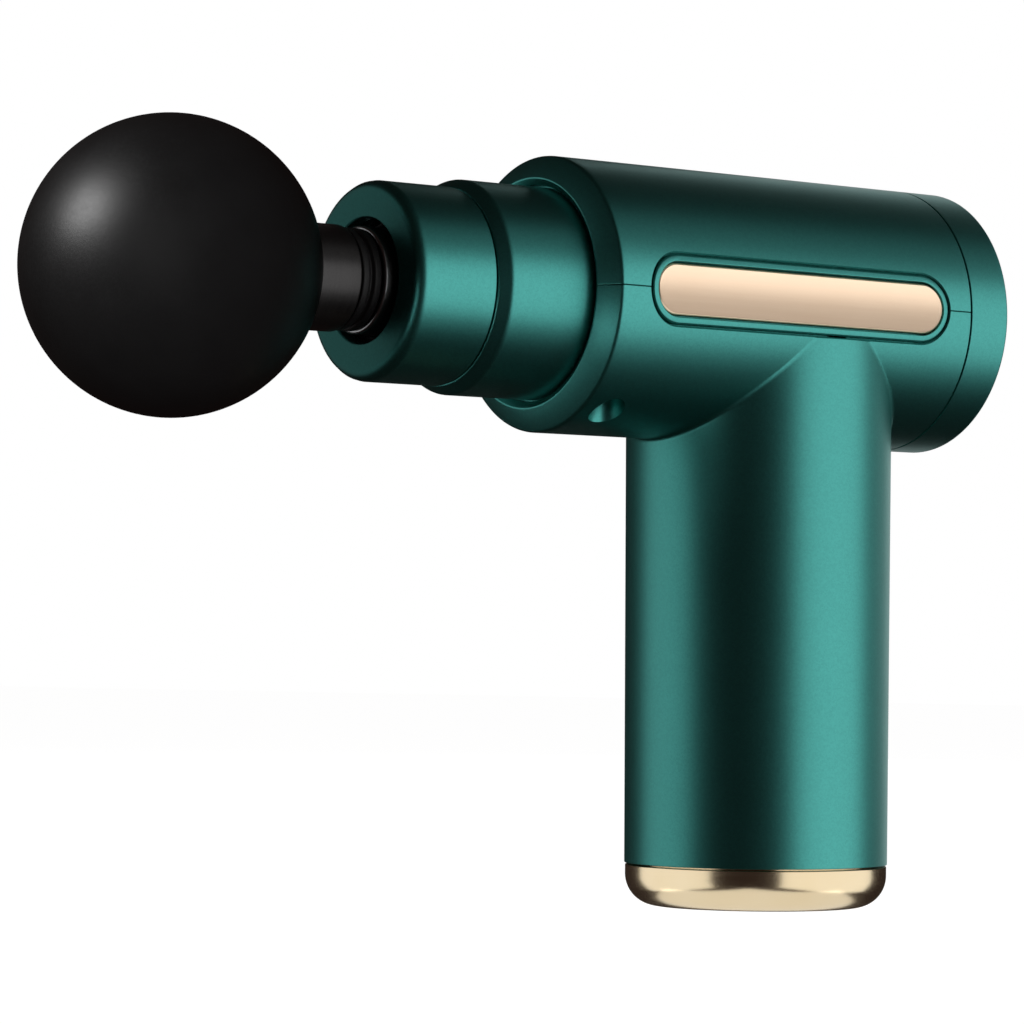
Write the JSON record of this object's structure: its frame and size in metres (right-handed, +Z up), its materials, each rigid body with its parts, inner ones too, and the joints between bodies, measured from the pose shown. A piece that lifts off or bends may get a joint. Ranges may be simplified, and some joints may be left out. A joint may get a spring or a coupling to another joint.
{
  "type": "massage gun",
  "caption": "T-shaped handheld percussion massage gun with a ball head, a stepped nose, a cylindrical handle and a polished base cap.",
  "frame": {"origin": "centre of the flat bottom of the base cap, on the handle's axis", "axes": "+Z up along the handle, -X along the barrel towards the massage head, -Y to the gun's left side"},
  "size_m": [0.1797, 0.0474, 0.1261],
  "materials": {
    "green_shell": "satin metallic teal-green lacquer on ABS, fine sparkle",
    "blush_metal": "brushed rose-champagne anodised plate",
    "gold_metal": "polished champagne-gold plating on die-cast zinc",
    "ball_black": "matte soft-touch black foam skin",
    "satin_black": "satin black nylon, lightly drawn",
    "gloss_black": "gloss black panel",
    "rubber_black": "matte black rubber",
    "steel": "bright steel",
    "alloy": "machined aluminium",
    "cell_wrap": null,
    "white_plastic": "natural acetal",
    "dark_plastic": "glass-filled nylon",
    "magnet": "nickel-plated magnet ring",
    "board": "circuit board",
    "copper": "wound laminated stator with copper windings",
    "clear_lens": "frosted clear light guide",
    "lead_black": "silicone lead, black",
    "lead_red": "silicone lead, red"
  },
  "bodies": {
    "root": {"upper_shell": "green_shell", "lower_shell": "green_shell", "side_trim_left": "green_shell", "side_trim_right": "green_shell", "accent_plate_left": "blush_metal", "accent_plate_right": "blush_metal", "shell_screw_1": "steel", "shell_screw_2": "steel", "rear_cap_screw_1": "steel", "rear_cap_screw_2": "steel", "board_screw_1": "steel", "board_screw_2": "steel", "rear_cap": "green_shell", "rear_panel": "gloss_black", "led_lens_1": "clear_lens", "led_lens_2": "clear_lens", "led_lens_3": "clear_lens", "led_lens_4": "clear_lens", "led_lens_5": "clear_lens", "button_board": "board", "tactile_switch": "steel", "collar": "green_shell", "nose_cap": "green_shell", "retaining_ring": "steel", "dust_seal": "rubber_black", "guide_sleeve": "white_plastic", "stator": "copper", "motor_mount": "alloy", "motor_screw_1": "steel", "motor_screw_2": "steel", "motor_screw_3": "steel", "motor_screw_4": "steel", "motor_lead_1": "lead_black", "motor_lead_2": "lead_black", "motor_lead_3": "lead_black", "base_cap": "gold_metal", "battery_cell_1": "cell_wrap", "battery_cell_2": "cell_wrap", "control_screw_1": "steel", "control_screw_2": "steel", "battery_holder": "white_plastic", "control_board": "board", "usb_port": "steel", "battery_lead_red": "lead_red", "battery_lead_black": "lead_black"},
    "button": {"power_button": "satin_black"},
    "rotor": {"crank_wheel": "steel", "motor_shaft": "steel", "rotor_can": "steel", "magnet_ring": "magnet"},
    "plunger": {"plunger": "alloy", "wrist_pin": "steel"},
    "rod": {"connecting_rod": "dark_plastic", "big_end_bearing": "steel", "crank_pin": "steel"},
    "head": {"massage_ball": "ball_black", "head_stem": "satin_black", "grip_ring": "rubber_black", "buffer_ring": "rubber_black"}
  },
  "joints": [
    {"name": "motor_spin", "type": "hinge", "parent": "root", "child": "rotor", "pos_m": [0, 0, 0.09], "axis": [0, 0, 1], "continuous": true},
    {"name": "plunger_slide", "type": "slide", "parent": "root", "child": "plunger", "axis": [1, 0, 0], "range_m": [0, 0.007]},
    {"name": "rod_swing", "type": "hinge", "parent": "plunger", "child": "rod", "pos_m": [-0.0355, 0, 0.1024], "axis": [0, 0, 1], "range_deg": [-6.3, 6.3]},
    {"name": "head_pull", "type": "slide", "parent": "plunger", "child": "head", "axis": [-1, 0, 0], "range_m": [0, 0.016]},
    {"name": "power_press", "type": "slide", "parent": "root", "child": "button", "axis": [-1, 0, 0], "range_m": [0, 0.0006], "stiffness_N_per_m": 1500, "springref_m": -0.0003}
  ]
}
